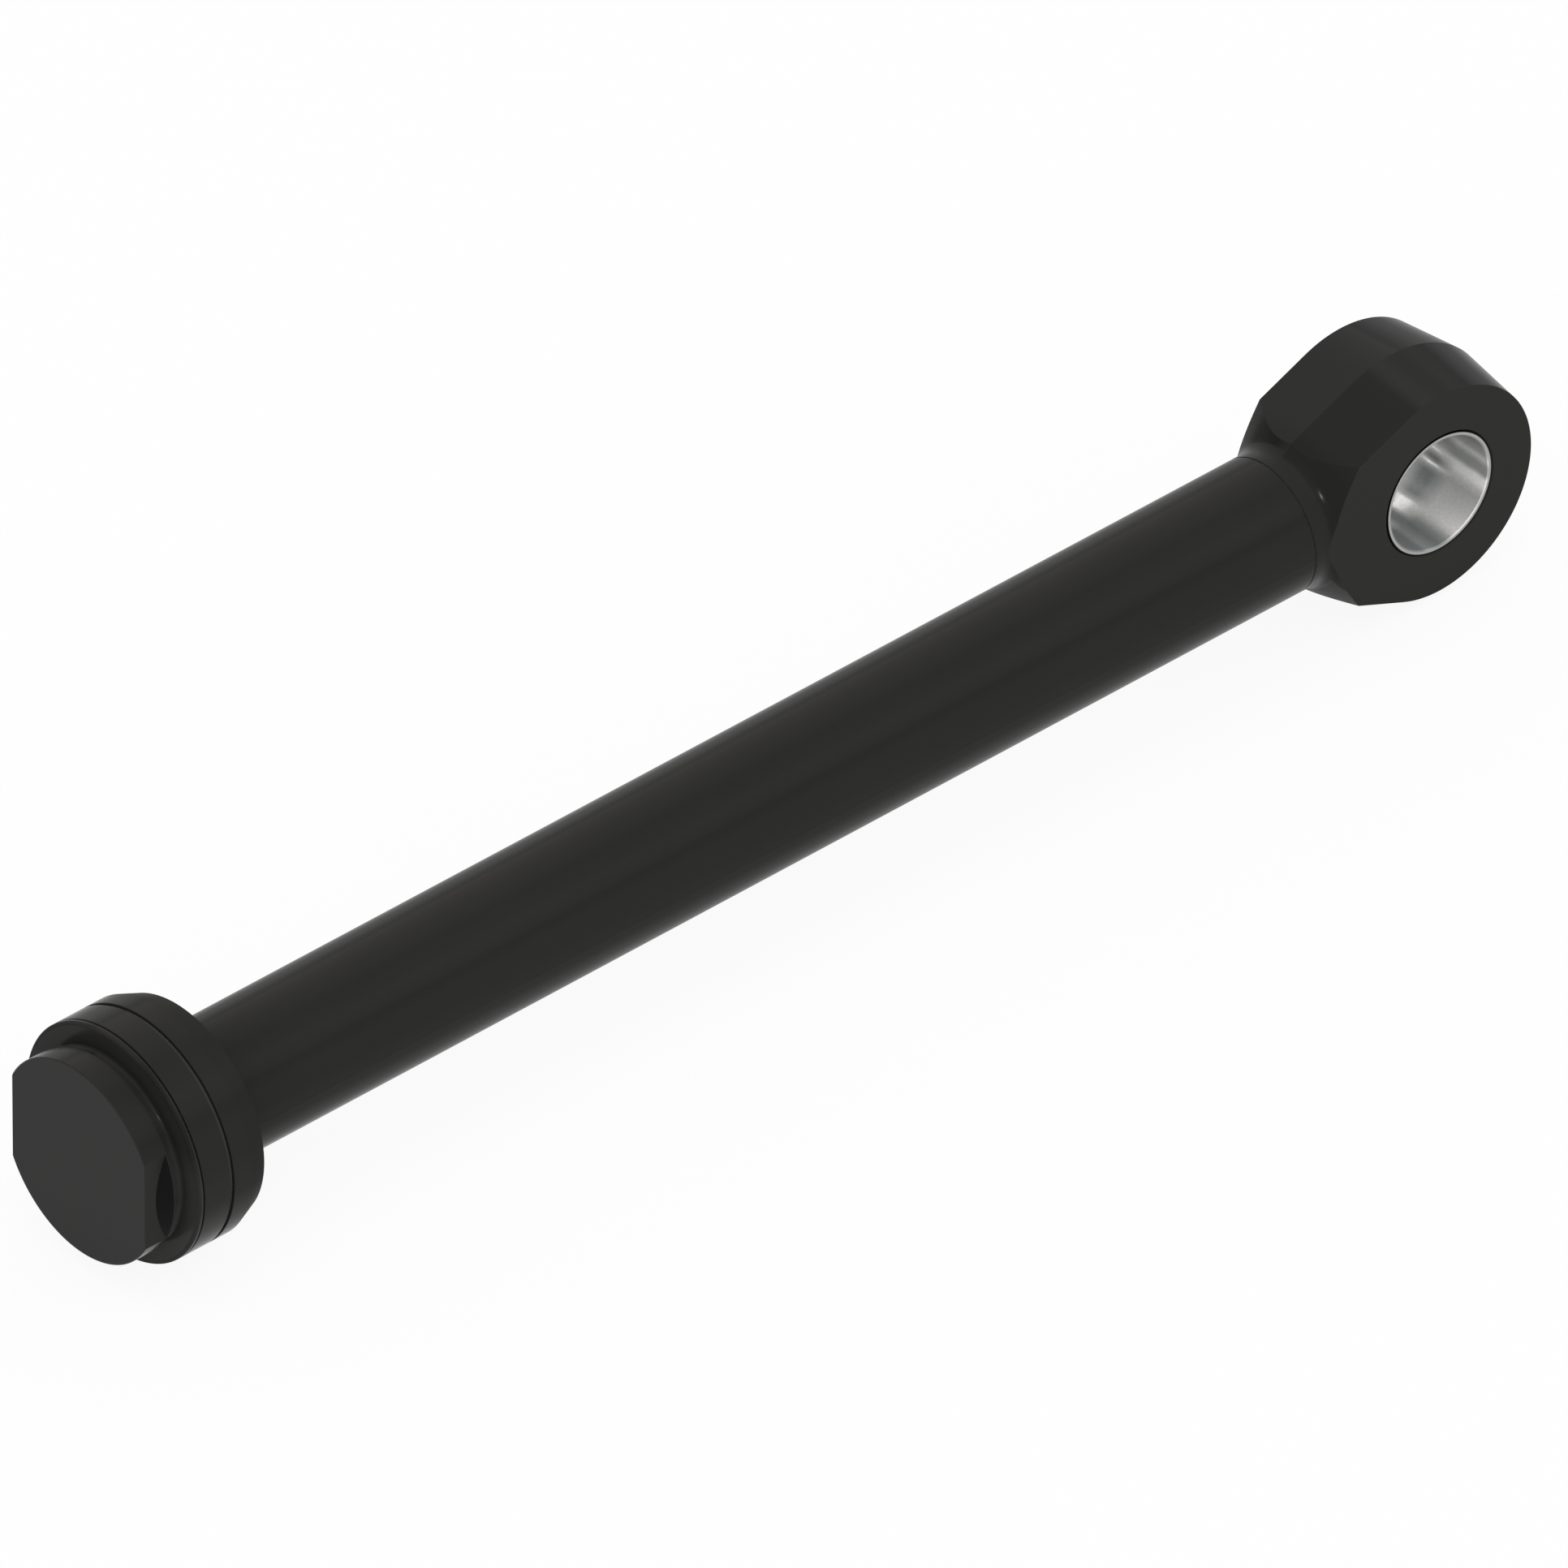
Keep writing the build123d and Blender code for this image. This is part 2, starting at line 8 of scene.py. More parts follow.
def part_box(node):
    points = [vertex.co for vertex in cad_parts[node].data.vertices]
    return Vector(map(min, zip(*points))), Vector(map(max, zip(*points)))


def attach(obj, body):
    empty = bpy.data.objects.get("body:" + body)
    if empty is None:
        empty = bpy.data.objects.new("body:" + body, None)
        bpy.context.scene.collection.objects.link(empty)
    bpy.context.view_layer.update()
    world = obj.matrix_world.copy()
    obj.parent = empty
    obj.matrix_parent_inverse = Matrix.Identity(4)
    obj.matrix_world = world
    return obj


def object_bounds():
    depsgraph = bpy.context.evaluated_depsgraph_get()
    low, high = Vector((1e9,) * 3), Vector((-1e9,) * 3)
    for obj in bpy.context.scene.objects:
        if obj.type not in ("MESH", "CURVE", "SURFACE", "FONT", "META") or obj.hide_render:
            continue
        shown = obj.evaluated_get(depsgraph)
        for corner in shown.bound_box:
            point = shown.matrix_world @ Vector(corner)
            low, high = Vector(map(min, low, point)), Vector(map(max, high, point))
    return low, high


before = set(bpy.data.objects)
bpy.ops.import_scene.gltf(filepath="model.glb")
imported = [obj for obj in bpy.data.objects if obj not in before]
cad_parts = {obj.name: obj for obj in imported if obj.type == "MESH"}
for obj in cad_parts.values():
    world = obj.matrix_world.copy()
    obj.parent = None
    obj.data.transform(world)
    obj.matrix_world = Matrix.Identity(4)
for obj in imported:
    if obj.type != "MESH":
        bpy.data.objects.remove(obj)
cad_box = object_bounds()


# Camera and studio. The cylinder lies on a pale floor under a soft overhead light, with one small
# lamp at the camera that only makes glints on its edges. It is seen from above its rod end,
# through a lens so long that it shows no perspective.

VIEW_FROM = Vector((0.5245, 0.5959, 0.6082)).normalized()
LOOK_AT = Vector((0.4047, -0.0009, -0.001))
VIEW_WIDTH = 0.7829
LENS = 1600.0
SENSOR = 36.0

scene = bpy.context.scene
scene.view_settings.view_transform = "Standard"

camera_data = bpy.data.cameras.new("camera")
camera_data.lens = LENS
camera_data.sensor_width = SENSOR
camera = bpy.data.objects.new("camera", camera_data)
camera.location = LOOK_AT + VIEW_FROM * (VIEW_WIDTH * LENS / SENSOR)
camera.rotation_euler = VIEW_FROM.to_track_quat("Z", "Y").to_euler()
scene.collection.objects.link(camera)
scene.camera = camera


class Shade:
    """A value in a node tree. Arithmetic on it adds Math nodes, and node() adds any other node."""

    def __init__(self, tree, socket):
        self.tree = tree
        self.socket = socket

    def node(self, kind, settings=None, inputs=None, output=0):
        """Adds a node with these settings, and these values or links at its inputs."""
        made = self.tree.nodes.new("ShaderNode" + kind)
        for name, value in (settings or {}).items():
            if name == "stops":
                elements = made.color_ramp.elements
                elements.remove(elements[1])
                elements[0].position, elements[0].color = value[0]
                for place, colour in value[1:]:
                    elements.new(place).color = colour
            else:
                setattr(made, name, value)
        for name, value in (inputs or {}).items():
            if isinstance(value, Shade):
                self.tree.links.new(value.socket, made.inputs[name])
            else:
                made.inputs[name].default_value = value
        return Shade(self.tree, made.outputs[output] if made.outputs else None)

    def math(self, operation, *others):
        return self.node("Math", {"operation": operation}, dict(enumerate((self, *others))))

    def __add__(self, other):
        return self.math("ADD", other)

    def __mul__(self, other):
        return self.math("MULTIPLY", other)

    def __sub__(self, other):
        return self.math("SUBTRACT", other)

    def __rsub__(self, other):
        return self * -1 + other

    __radd__ = __add__
    __rmul__ = __mul__


def axes(place):
    """The X, Y and Z of a place, in metres, or of a direction."""
    return [place.node("SeparateXYZ", inputs={0: place}, output=axis) for axis in "XYZ"]


def above(value, limit, soft=0.0001):
    """0 below a limit and 1 above it, with a soft step between."""
    return value.node("MapRange", {"clamp": True}, {0: value, 1: limit - soft, 2: limit + soft})


def grey(level):
    """A neutral colour."""
    return (level, level, level, 1)


def ramp(value, rows):
    """What a list gives at a value. Each row is a place from 0 to 1, then one level or three."""
    stops = [(at, grey(*levels) if len(levels) == 1 else (*levels, 1)) for at, *levels in rows]
    return value.node("ValToRGB", {"stops": stops}, {0: value})


def seen_directly(tree):
    """1 for rays from the camera and for reflected and refracted ones, which show the backdrop."""
    start = Shade(tree, None)
    camera_ray = start.node("LightPath", output="Is Camera Ray")
    glossy_ray = start.node("LightPath", output="Is Glossy Ray")
    clear_ray = start.node("LightPath", output="Is Transmission Ray")
    return camera_ray.math("MAXIMUM", glossy_ray).math("MAXIMUM", clear_ray)


WORLD_LEVEL = 0.9
world = bpy.data.worlds.new("studio")
world.use_nodes = True
world_tree = world.node_tree
background = world_tree.nodes["Background"]
background.inputs["Color"].default_value = grey(1)
world_strength = seen_directly(world_tree) * (1 - WORLD_LEVEL) + WORLD_LEVEL
world_tree.links.new(world_strength.socket, background.inputs["Strength"])
scene.world = world

OVERHEAD_FROM = (0.1, 0.2, 1.0)
OVERHEAD_LEVEL = 0.12
OVERHEAD_ANGLE = 70
GLINT_LEVEL = 0.35
GLINT_ANGLE = 1.5


def studio_light(name, direction, level, angle):
    """A sun lamp from the direction given, as wide as a studio box or as small as a spot."""
    lamp = bpy.data.lights.new(name, "SUN")
    lamp.energy = level * math.pi
    lamp.angle = math.radians(angle)
    light = bpy.data.objects.new(name, lamp)
    light.rotation_euler = Vector(direction).to_track_quat("Z", "Y").to_euler()
    scene.collection.objects.link(light)
    return light


studio_light("overhead_box", OVERHEAD_FROM, OVERHEAD_LEVEL, OVERHEAD_ANGLE)
glint_spot = studio_light("glint_spot", VIEW_FROM, GLINT_LEVEL, GLINT_ANGLE)
glint_spot.visible_diffuse = False

# The floor is paper that glows, so that it looks even. Beside the tube its mirror image in the
# enamel is darker than the floor itself: SHADE_ACROSS gives by how much, at a distance from the
# tube's axis. The list covers SHADE_REACH, and the axis lies at SHADE_MIDDLE of it.
FLOOR_SIZE = 12.0
FLOOR_TONE = 0.9
FLOOR_SHOW = 0.92
SHADE_END_X = 0.68
SHADE_END_SOFT = 0.06
SHADE_REACH = 2.0
SHADE_MIDDLE = 0.75
SHADE_ACROSS = [
    (-1.5, 0.3),
    (-0.4, 0.28),
    (-0.13, 0.3),
    (-0.07, 0.15),
    (-0.03, 0.1),
    (-0.01, 0.3),
    (0.01, 0.3),
    (0.022, 0.08),
    (0.032, 0.0),
]
floor_mesh = bmesh.new()
bmesh.ops.create_grid(floor_mesh, size=FLOOR_SIZE / 2)
floor_data = bpy.data.meshes.new("floor")
floor_mesh.to_mesh(floor_data)
floor_mesh.free()
floor_data.transform(Matrix.Translation((LOOK_AT.x, 0, cad_box[0][2])))
floor = bpy.data.objects.new("floor", floor_data)
scene.collection.objects.link(floor)

floor_paper = bpy.data.materials.new("floor_paper")
floor_paper.use_nodes = True
floor_tree = floor_paper.node_tree
floor_tree.nodes.clear()
lit = seen_directly(floor_tree)
x, y = axes(lit.node("TexCoord", output="Object"))[:2]
rows = [(SHADE_MIDDLE + at / SHADE_REACH, level) for at, level in SHADE_ACROSS]
shade = ramp(y * (1 / SHADE_REACH) + SHADE_MIDDLE, rows)
beside_tube = 1 - above(x, SHADE_END_X, SHADE_END_SOFT)
mirrored = lit.node("LightPath", output="Is Glossy Ray")
matt = lit.node("BsdfDiffuse", inputs={"Color": grey(FLOOR_TONE)})
glow_level = 1 - shade * beside_tube * mirrored
glow = lit.node("Emission", inputs={"Color": glow_level, "Strength": 1.0})
mixed = lit.node("MixShader", inputs={0: lit * FLOOR_SHOW, 1: matt, 2: glow})
lit.node("OutputMaterial", inputs={"Surface": mixed})
floor_data.materials.append(floor_paper)


# Barrel tube. Cold-drawn steel, honed inside with two crossing sets of fine scratches for the
# piston's rings. Outside it has the barrel's black enamel, which is smooth with a trace of orange
# peel. On round parts its colour carries faint lengthwise stripes of painted reflection.


def finish(name, **constants):
    """A new material: its Principled shader, set with the constants, and Object coordinates."""
    material = bpy.data.materials.new(name)
    material.use_nodes = True
    shader = material.node_tree.nodes["Principled BSDF"]
    for socket, value in constants.items():
        shader.inputs[socket.replace("_", " ")].default_value = value
    place = Shade(material.node_tree, None).node("TexCoord", output="Object")
    return material, shader, place


def feed(shader, **links):
    """Links values to the shader's sockets."""
    for socket, value in links.items():
        value.tree.links.new(value.socket, shader.inputs[socket.replace("_", " ")])


def coat(material, *nodes):
    """Gives CAD nodes a material."""
    for name in nodes:
        for material_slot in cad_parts[name].material_slots:
            material_slot.material = material


def facing(place):
    """The X, Y and Z of the way that the surface faces."""
    return axes(place.node("TexCoord", output="Normal"))


def distance(first, second):
    """How far a place is from the axis that the two values are measured from."""
    return (first * first + second * second).math("SQRT")


def turn_round(first, second):
    """How far round an axis a place lies: 0.5 where the first value points, 0 or 1 opposite."""
    return second.math("ARCTAN2", first) * (0.5 / math.pi) + 0.5


def by_degrees(rows):
    """Rows that start with an angle from -180 to 180, as rows for turn_round."""
    return [(angle / 360 + 0.5, *levels) for angle, *levels in rows]


def noise(place, scale, detail):
    """A cloudy pattern from 0 to 1."""
    return place.node("TexNoise", inputs={"Vector": place, "Scale": scale, "Detail": detail})


def relief(height, strength, depth, **surface):
    """Fine relief from a pattern. Surface may hold the Normal that it lies on."""
    inputs = {"Strength": strength, "Distance": depth, "Height": height}
    return height.node("Bump", inputs={**inputs, **surface})


def between(amount, low, high):
    """A value between two others."""
    return amount * (high - low) + low


def blend(amount, first, second):
    """A colour between two others."""
    return amount.node("Mix", {"data_type": "RGBA"}, {0: amount, 6: first, 7: second}, output=2)


def scaled(colour, level):
    """A colour made lighter or darker."""
    return colour.node("VectorMath", {"operation": "SCALE"}, {0: colour, "Scale": level})


def multiplied(colour, levels):
    """A colour with each of its channels made lighter or darker."""
    return colour.node("VectorMath", {"operation": "MULTIPLY"}, {0: colour, 1: levels})


PAINT = (0.0225, 0.0225, 0.0221, 1)
PAINT_WARM = (0.0245, 0.0243, 0.023, 1)
PAINT_CLOUD_SCALE = 14.0
PAINT_GLOSS = 0.045
PAINT_ROUGHNESS = (0.16, 0.24)
PEEL_SIZE = 0.0012
PEEL_DEPTH = 0.000004
PEEL_STRENGTH = 0.3


def enamel(place, **surface):
    """The enamel's colour, roughness and orange peel at a place. Surface may hold its Normal."""
    cloud = noise(place, PAINT_CLOUD_SCALE, detail=3.0)
    peel = noise(place, 1 / PEEL_SIZE, detail=1.0)
    skin = relief(peel, PEEL_STRENGTH, PEEL_DEPTH, **surface)
    return blend(cloud, PAINT, PAINT_WARM), between(cloud, *PAINT_ROUGHNESS), skin


# The angle from +Y towards +Z, and the painted reflection bands' red, green and blue there.
# UNCHANGED leaves the coat's colour as it is.
UNCHANGED = 0.5
PAINTED_REFLECTION_BANDS = [
    (-180, 0.50, 0.50, 0.49),
    (-160, 0.47, 0.47, 0.46),
    (-140, 0.52, 0.52, 0.51),
    (-120, 0.46, 0.46, 0.45),
    (-95, 0.52, 0.52, 0.50),
    (-75, 0.47, 0.47, 0.46),
    (-45, 0.50, 0.50, 0.50),
    (-20, 0.50, 0.50, 0.49),
    (-14, 0.57, 0.57, 0.55),
    (-5, 0.44, 0.44, 0.44),
    (4, 0.51, 0.51, 0.51),
    (14, 0.49, 0.49, 0.49),
    (28, 0.49, 0.49, 0.49),
    (37, 0.43, 0.43, 0.43),
    (42, 0.50, 0.50, 0.50),
    (50, 0.53, 0.53, 0.53),
    (57, 0.48, 0.50, 0.46),
    (67, 0.44, 0.45, 0.42),
    (75, 0.50, 0.50, 0.48),
    (82, 0.53, 0.52, 0.50),
    (92, 0.58, 0.56, 0.54),
    (99, 0.61, 0.58, 0.56),
    (103, 0.37, 0.36, 0.34),
    (108, 0.46, 0.47, 0.45),
    (122, 0.51, 0.51, 0.50),
    (150, 0.47, 0.47, 0.46),
    (180, 0.50, 0.50, 0.49),
]
FLAT_FACING = 0.5
FLAT_FACING_SOFT = 0.2


def with_reflection_bands(tone, place):
    """The enamel on a round part, with lengthwise stripes of painted reflection."""
    y, z = axes(place)[1:]
    round_face = 1 - above(facing(place)[0].math("ABSOLUTE"), FLAT_FACING, FLAT_FACING_SOFT)
    reflection_bands = scaled(ramp(turn_round(y, z), by_degrees(PAINTED_REFLECTION_BANDS)), 1 / UNCHANGED)
    return blend(round_face, tone, multiplied(tone, reflection_bands))


HONED_STEEL = (0.52, 0.52, 0.53, 1)
HONED_DARK = (0.42, 0.42, 0.43, 1)
HONED_ROUGHNESS = 0.3
TUBE_WALL_MIDDLE = 0.0345
HONE_PITCH = 0.0006
HONE_LENGTH = 1 / 30
tube_finish, shader, place = finish("tube_enamel_and_honed_bore", Specular_IOR_Level=PAINT_GLOSS)
tone, gloss, skin = enamel(place)
x, y, z = axes(place)
outside = above(distance(y, z), TUBE_WALL_MIDDLE)
arc = z.math("ARCTAN2", y) * TUBE_WALL_MIDDLE
crossing = {0: (x + arc) * (1 / HONE_PITCH), 1: (x - arc) * (1 / HONE_LENGTH)}
scratches = noise(place.node("CombineXYZ", inputs=crossing), scale=1.0, detail=2.0)
feed(
    shader,
    Base_Color=blend(outside, blend(scratches, HONED_DARK, HONED_STEEL), with_reflection_bands(tone, place)),
    Roughness=between(outside, HONED_ROUGHNESS, gloss),
    Metallic=1 - outside,
    Normal=skin,
)
coat(tube_finish, "barrel_tube")


# Base eye. Drop-forged in two halves that meet at the middle plane, welded to the tube's end and
# enamelled like it. Its colour carries painted shade on the front half's flanks, on the shoulder
# and in the hollow of the shoulder, painted light under the chin, and painted reflection bands
# over the crown.

EYE_FRONT_Y = 0.0376
FLANK_START_X = 0.013
SHOULDER_X = 0.060
NECK_X = 0.073
FLANK_PAINTED_SHADE = 0.17
SHOULDER_PAINTED_SHADE = 0.12
CONE_FACING = 0.6
HOLLOW_SHADE_FROM_Y = -0.028
HOLLOW_SHADE_TO_Y = -0.004
HOLLOW_PAINTED_SHADE = 0.5
CHIN_FROM_Y = 0.024
CHIN_EDGE_Y = 0.035
CHIN_EDGE_DROP = 0.0075
CHIN_BELOW_Z = -0.022
CHIN_PAINTED_LIGHT = 1.25
EYE_FACE_PAINT = (0.024, 0.0238, 0.0212, 1)

# The angle from +X towards +Z, and the level of the crown's painted reflection bands there.
CROWN_REFLECTIONS_FRONT = [
    (66, 0.50),
    (74, 0.51),
    (79, 0.64),
    (84, 0.62),
    (88, 0.55),
    (93, 0.50),
    (100, 0.50),
    (104, 0.40),
    (108, 0.26),
    (111, 0.34),
    (116, 0.34),
    (121, 0.31),
    (124, 0.22),
    (128, 0.44),
    (134, 0.50),
]
CROWN_REFLECTIONS_BACK = [
    (60, 0.54),
    (76, 0.54),
    (84, 0.55),
    (93, 0.55),
    (96, 0.34),
    (100, 0.36),
    (104, 0.36),
    (108, 0.29),
    (112, 0.30),
    (116, 0.23),
    (120, 0.16),
    (134, 0.12),
    (150, 0.50),
]
eye_finish, shader, place = finish("forged_eye_enamel", Specular_IOR_Level=PAINT_GLOSS)
tone, gloss, skin = enamel(place)
x, y, z = axes(place)
behind_neck = 1 - above(x, NECK_X, soft=0.001)
on_face = above(y.math("ABSOLUTE"), EYE_FRONT_Y, soft=0.00005)
front_half = above(y, 0, soft=0.0002) * (1 - on_face)
flank = front_half * above(x, FLANK_START_X, soft=0.003) * behind_neck
shoulder = above(x, SHOULDER_X, soft=0.004) * behind_neck
cone = above(facing(place)[0], CONE_FACING, soft=0.05) * (1 - on_face)
past_hollow_shade = above(y, HOLLOW_SHADE_TO_Y, soft=0.005)
hollow_shade = cone * above(z, 0) * above(y, HOLLOW_SHADE_FROM_Y, soft=0.003) * (1 - past_hollow_shade)
dropped_z = z + above(y, CHIN_EDGE_Y, soft=0.001) * CHIN_EDGE_DROP
over_chin = above(dropped_z, CHIN_BELOW_Z, soft=0.002)
chin_light = cone * above(y, CHIN_FROM_Y, soft=0.006) * (1 - over_chin)
# Painted shade on the front flanks, the shoulder and its hollow, and painted light under the chin.
painted_shade = flank * FLANK_PAINTED_SHADE + shoulder * SHOULDER_PAINTED_SHADE + hollow_shade * HOLLOW_PAINTED_SHADE
turn = turn_round(x, z)
front_reflections = ramp(turn, by_degrees(CROWN_REFLECTIONS_FRONT))
back_reflections = ramp(turn, by_degrees(CROWN_REFLECTIONS_BACK))
crown_reflections = scaled(blend(front_half, back_reflections, front_reflections), 1 / UNCHANGED)
shaded_forging = scaled(multiplied(tone, crown_reflections), 1 - painted_shade + chin_light * CHIN_PAINTED_LIGHT)
feed(shader, Base_Color=blend(on_face, shaded_forging, EYE_FACE_PAINT), Roughness=gloss, Normal=skin)
coat(eye_finish, "base_eye")


# Eye bushing. A plain steel ring pressed into the eye and reamed in place. Its colour holds
# painted reflections: light and dark streaks along the bore, whose brightest parts are painted
# highlights, and black painted shade of the gap over the ring's outer corner.

BUSHING_FACE = 0.0374
BUSHING_RING_INNER = 0.0332
GAP_SHADE_EDGE = 0.0345
BUSHING_GLOSS = 0.05
BUSHING_RING = (0.4, 0.4, 0.39, 1)
BUSHING_ROUGHNESS = (0.38, 0.52)
GAP_PAINTED_SHADE = (0.003, 0.003, 0.003, 1)
REAMED_METALLIC = 0.4
MOUTH_FROM_Y = 0.009
MOUTH_SOFT = 0.006
STREAK_SHADOW = (0.95, 1.0, 0.985, 1)
STREAK_LIGHT = (1.0, 0.985, 0.965, 1)
STREAK_LIGHT_ABOVE = 0.5
STREAK_DRIFT = 0.012
STREAK_DRIFT_SCALE = 60.0
GRAINS_PER_TURN = 900.0
GRAINS_PER_METRE = 400.0
GRAIN_LEVELS = (0.65, 1.35)
PAINTED_HIGHLIGHT_ABOVE = 0.8
PAINTED_HIGHLIGHT_SOFT = 0.12
PAINTED_HIGHLIGHT_SMOOTHER = 0.18

# How far round from -X, as a part of a turn, and how light the painted reflection is there.
MOUTH_PAINTED_REFLECTIONS = [
    (0.00, 0.25),
    (0.42, 0.28),
    (0.44, 0.38),
    (0.464, 0.48),
    (0.485, 0.78),
    (0.506, 0.44),
    (0.526, 0.46),
    (0.540, 0.95),
    (0.556, 0.96),
    (0.573, 0.74),
    (0.592, 0.56),
    (0.640, 0.70),
    (0.672, 0.82),
    (0.690, 0.86),
    (0.703, 0.76),
    (0.726, 0.38),
    (0.748, 0.27),
    (0.772, 0.36),
    (0.785, 0.42),
    (0.805, 0.28),
    (1.00, 0.25),
]
INNER_PAINTED_REFLECTIONS = [
    (0.00, 0.30),
    (0.48, 0.40),
    (0.506, 0.34),
    (0.526, 0.55),
    (0.543, 0.96),
    (0.553, 0.55),
    (0.564, 0.26),
    (0.573, 0.32),
    (0.582, 0.93),
    (0.592, 0.45),
    (0.603, 0.26),
    (0.625, 0.28),
    (0.650, 0.39),
    (0.670, 0.34),
    (0.686, 0.60),
    (0.696, 0.96),
    (0.728, 0.96),
    (0.745, 0.34),
    (0.765, 0.30),
    (0.790, 0.96),
    (0.806, 0.85),
    (0.825, 0.40),
    (1.00, 0.30),
]
bushing_steel, shader, place = finish("reamed_bushing_steel", Specular_IOR_Level=BUSHING_GLOSS)
x, y, z = axes(place)
depth = y.math("ABSOLUTE")
radius = distance(x, z)
round_bore = turn_round(x * -1, z * -1)
drift = noise(place, STREAK_DRIFT_SCALE, detail=2.0)
streak_place = round_bore + (drift - 0.5) * STREAK_DRIFT
inside = 1 - above(depth, MOUTH_FROM_Y, MOUTH_SOFT)
painted_reflections = blend(inside, ramp(streak_place, MOUTH_PAINTED_REFLECTIONS), ramp(streak_place, INNER_PAINTED_REFLECTIONS))
fine = {0: round_bore * GRAINS_PER_TURN, 1: y * GRAINS_PER_METRE}
grain = noise(place.node("CombineXYZ", inputs=fine), scale=1.0, detail=3.0)
level = painted_reflections.node("RGBToBW", inputs={0: painted_reflections}) * between(grain, *GRAIN_LEVELS)
tint = blend(above(level, STREAK_LIGHT_ABOVE, soft=0.15), STREAK_SHADOW, STREAK_LIGHT)
ring_face = above(depth, BUSHING_FACE, soft=0.00005) * above(radius, BUSHING_RING_INNER)
bare = blend(ring_face, scaled(tint, level), BUSHING_RING)
# Painted shade: the ring's outer corner is black, as the gap round it lies in shadow.
painted_gap_shade = above(radius, GAP_SHADE_EDGE)
# Painted highlights: the brightest streaks are metallic and smoother deep in the bore.
painted_highlight = above(level, PAINTED_HIGHLIGHT_ABOVE, PAINTED_HIGHLIGHT_SOFT) * (1 - ring_face)
feed(
    shader,
    Base_Color=blend(painted_gap_shade, bare, GAP_PAINTED_SHADE),
    Metallic=(1 - painted_gap_shade) * between(painted_highlight, REAMED_METALLIC, inside),
    Roughness=between(grain, *BUSHING_ROUGHNESS) - painted_highlight * inside * PAINTED_HIGHLIGHT_SMOOTHER,
)
coat(bushing_steel, "eye_bushing")


# Zinc-plated hardware: the grease nipple, screwed in the end of the eye, and the piston's lock
# nut. Both are bright steel with a faint straw and blue cast from the passivating bath.

ZINC_STRAW = (0.62, 0.6, 0.52, 1)
ZINC_BLUE = (0.52, 0.55, 0.6, 1)
ZINC_CAST_SCALE = 160.0
ZINC_ROUGHNESS = (0.25, 0.4)
SPANGLE_SCALE = 2400.0
SPANGLE_DEPTH = 0.000004
zinc, shader, place = finish("passivated_zinc", Metallic=1.0)
cast = noise(place, ZINC_CAST_SCALE, detail=3.0)
spangle = noise(place, SPANGLE_SCALE, detail=1.0)
feed(
    shader,
    Base_Color=blend(cast, ZINC_STRAW, ZINC_BLUE),
    Roughness=between(cast, *ZINC_ROUGHNESS),
    Normal=relief(spangle, strength=0.3, depth=SPANGLE_DEPTH),
)
coat(zinc, "grease_nipple", "piston_nut")


# Port bosses. Two short round blocks turned from steel bar, welded on the lower back of the tube
# and enamelled with it.

black_enamel, shader, place = finish("black_enamel", Specular_IOR_Level=PAINT_GLOSS)
tone, gloss, skin = enamel(place)
feed(shader, Base_Color=tone, Roughness=gloss, Normal=skin)
coat(black_enamel, "base_port_boss", "rod_port_boss")


# Barrel flange. A turned steel ring welded round the tube's end, which the gland is screwed to.
# The enamel fills the edge of its rear taper, so that the taper shades like the band beside it.

TAPER_FACING_FROM = 0.2
TAPER_FACING_TO = 0.5
TAPER_FACING_SOFT = 0.05
enamel_with_reflection_bands, shader, place = finish("black_enamel_with_reflection_bands", Specular_IOR_Level=PAINT_GLOSS)
facing_x, facing_y, facing_z = facing(place)
tilt = facing_x.math("ABSOLUTE")
steeper = above(tilt, TAPER_FACING_TO, TAPER_FACING_SOFT)
taper = above(tilt, TAPER_FACING_FROM, TAPER_FACING_SOFT) * (1 - steeper)
filled = place.node("CombineXYZ", inputs={0: facing_x * (1 - taper), 1: facing_y, 2: facing_z})
softened = filled.node("VectorMath", {"operation": "NORMALIZE"}, {0: filled})
tone, gloss, skin = enamel(place, Normal=softened)
# Its colour carries the painted reflection bands of round parts.
feed(shader, Base_Color=with_reflection_bands(tone, place), Roughness=gloss, Normal=skin)
coat(enamel_with_reflection_bands, "barrel_flange")


# Welds. Each bead is laid round its joint in short overlapping runs and painted over with the
# barrel: one behind the barrel flange, and one round each port boss where it sits on the tube.

TUBE_R = 0.0375
BEAD_R = 0.0042
BEAD_RISE = 0.0008
BEAD_RUN = 0.004
BEAD_RIPPLE = 0.12
BEAD_SIDES = 14
BEAD_STEPS_PER_RUN = 8
PORT_BEAD_R = 0.0028
PORT_BOSS_R = 0.014
PORT_ANGLE = math.radians(225)


def bead(centre_r, section_r):
    """A rippled ring of weld about the Z axis."""
    made = bmesh.new()
    section = bmesh.ops.create_circle(made, segments=BEAD_SIDES, radius=section_r)["verts"]
    bmesh.ops.rotate(made, verts=section, matrix=Matrix.Rotation(math.pi / 2, 3, "X"))
    bmesh.ops.translate(made, verts=section, vec=(centre_r, 0, 0))
    runs = round(2 * math.pi * centre_r / BEAD_RUN)
    bmesh.ops.spin(
        made,
        geom=made.verts[:] + made.edges[:],
        cent=(0, 0, 0),
        axis=(0, 0, 1),
        angle=2 * math.pi,
        steps=BEAD_STEPS_PER_RUN * runs,
        use_merge=True,
        use_duplicate=False,
    )
    bmesh.ops.remove_doubles(made, verts=made.verts, dist=1e-6)
    bmesh.ops.recalc_face_normals(made, faces=made.faces)
    for vert in made.verts:
        turn = math.atan2(vert.co.y, vert.co.x)
        core = Vector((centre_r * math.cos(turn), centre_r * math.sin(turn), 0))
        swell = abs(math.sin(turn * runs / 2))
        vert.co = core + (vert.co - core) * (1 - BEAD_RIPPLE + BEAD_RIPPLE * swell)
    return made


